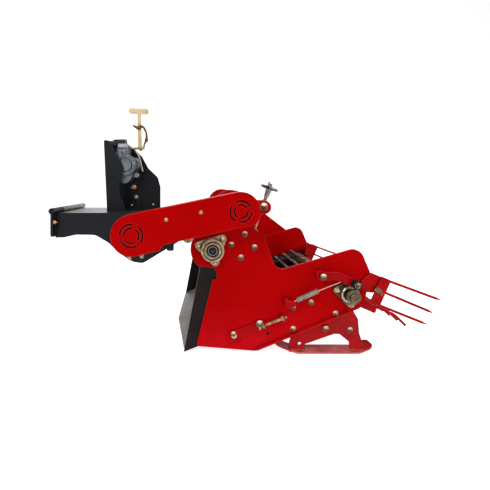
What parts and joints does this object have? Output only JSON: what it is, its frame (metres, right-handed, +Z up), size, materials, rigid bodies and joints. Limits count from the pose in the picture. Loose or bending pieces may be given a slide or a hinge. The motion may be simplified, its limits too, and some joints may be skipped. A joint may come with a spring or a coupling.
{
  "type": "potato digger",
  "caption": "One-row potato digger for a walking tractor, with rod web, share, skids, side rakes, chain case, input gearbox and a depth screw.",
  "frame": {"origin": "on the floor under the middle of the machine's overall box", "axes": "+X to the rear, from the hitch plate to the rake tines; +Y to the far side, away from the chain case; +Z up"},
  "size_m": [1.2312, 0.618, 0.8135],
  "materials": {
    "body_red": "gloss",
    "frame_black": "satin",
    "cast_grey": "satin",
    "zinc_yellow": "satin",
    "bright_steel": "satin",
    "rubber_black": "matte",
    "rod_steel": "satin",
    "share_steel": "satin"
  },
  "bodies": {
    "digger_frame": {"side_plates": "body_red", "side_knives": "frame_black", "share_blade": "share_steel", "cross_tube": "body_red", "pivot_ears": "body_red", "front_bearings": "zinc_yellow", "web_bearings": "zinc_yellow", "rod_web": "rod_steel", "web_drive_shaft": "rod_steel", "web_idler": "rod_steel", "web_guide_rails": "frame_black", "idler_strips": "body_red", "tension_tabs": "body_red", "tension_screws": "zinc_yellow", "skids": "body_red", "rear_wings": "body_red", "side_rakes": "body_red", "rear_grate": "body_red", "far_guard_back": "body_red", "far_drive_guard": "body_red", "shaker_cam": "zinc_yellow", "follower_post": "body_red", "return_spring": "bright_steel", "spring_anchor": "body_red"},
    "hitch_frame": {"hitch_arms": "frame_black", "screw_nut": "frame_black", "hitch_deck": "frame_black", "hitch_plate": "frame_black", "gearbox_uprights": "frame_black", "upright_feet": "frame_black", "gearbox_housing": "cast_grey", "input_bearing_housing": "frame_black", "gearbox_cover": "cast_grey", "handle_bracket": "frame_black", "selector_handle": "zinc_yellow", "keeper_strap": "rubber_black", "clutch_lever": "bright_steel", "chain_case": "body_red", "case_back_plate": "body_red", "cross_shaft_sleeve": "body_red", "cross_shaft": "rod_steel", "front_shaft_sleeve": "body_red", "tensioner_boss": "zinc_yellow", "stop_tab": "frame_black"},
    "front_shaft": {"front_shaft": "rod_steel"},
    "depth_screw": {"screw_spindle": "bright_steel", "screw_trunnion": "zinc_yellow", "handwheel": "frame_black"},
    "follower_lever": {"follower_lever": "body_red", "follower_roller": "bright_steel"},
    "input_coupling": {"input_coupling": "rubber_black"}
  },
  "joints": [
    {"name": "hitch_pitch", "type": "hinge", "parent": "digger_frame", "child": "hitch_frame", "pos_m": [0.00089, 0.016, 0.442], "axis": [0, 1, 0], "range_deg": [-7, 7]},
    {"name": "screw_swing", "type": "hinge", "parent": "digger_frame", "child": "depth_screw", "pos_m": [0.11089, -0.108, 0.441], "axis": [0, 1, 0], "range_deg": [-5, 5]},
    {"name": "input_spin", "type": "hinge", "parent": "hitch_frame", "child": "input_coupling", "pos_m": [-0.43211, 0.016, 0.668], "axis": [1, 0, 0], "continuous": true},
    {"name": "front_shaft_spin", "type": "hinge", "parent": "digger_frame", "child": "front_shaft", "pos_m": [-0.07211, 0.016, 0.319], "axis": [0, 1, 0], "continuous": true},
    {"name": "follower_lift", "type": "hinge", "parent": "digger_frame", "child": "follower_lever", "pos_m": [0.25089, -0.242, 0.245], "axis": [0, -1, 0], "range_deg": [0, 8], "stiffness_Nm_per_rad": 4}
  ],
  "couplings": [
    {"joint": "screw_swing", "follows": "hitch_pitch", "ratio": 0.6}
  ]
}
